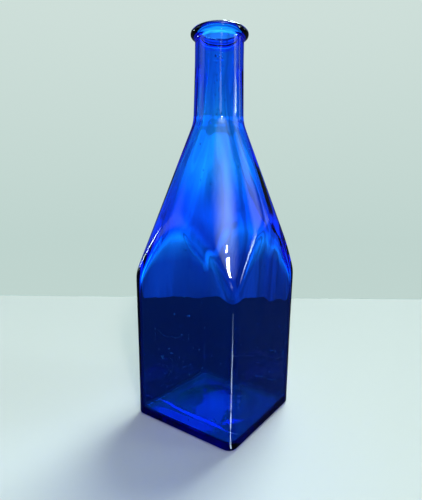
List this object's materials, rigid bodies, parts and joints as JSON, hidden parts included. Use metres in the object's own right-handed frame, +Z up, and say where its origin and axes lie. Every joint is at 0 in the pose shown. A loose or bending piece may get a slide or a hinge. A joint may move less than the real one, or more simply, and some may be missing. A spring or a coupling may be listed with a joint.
{
  "type": "ink bottle",
  "caption": "Tall square blown-glass bottle with a conical shoulder, a straight neck and a flanged lip, for bulk ink.",
  "frame": {"origin": "middle of the foot, on the surface that the bottle stands on", "axes": "+Z up along the bottle's axis, out of the mouth; the flat sides face X and Y"},
  "size_m": [0.0706, 0.0706, 0.22],
  "materials": {
    "cobalt_glass": "gloss"
  },
  "bodies": {
    "root": {"bottle_body": "cobalt_glass", "lip_ring": "cobalt_glass"}
  },
  "joints": []
}
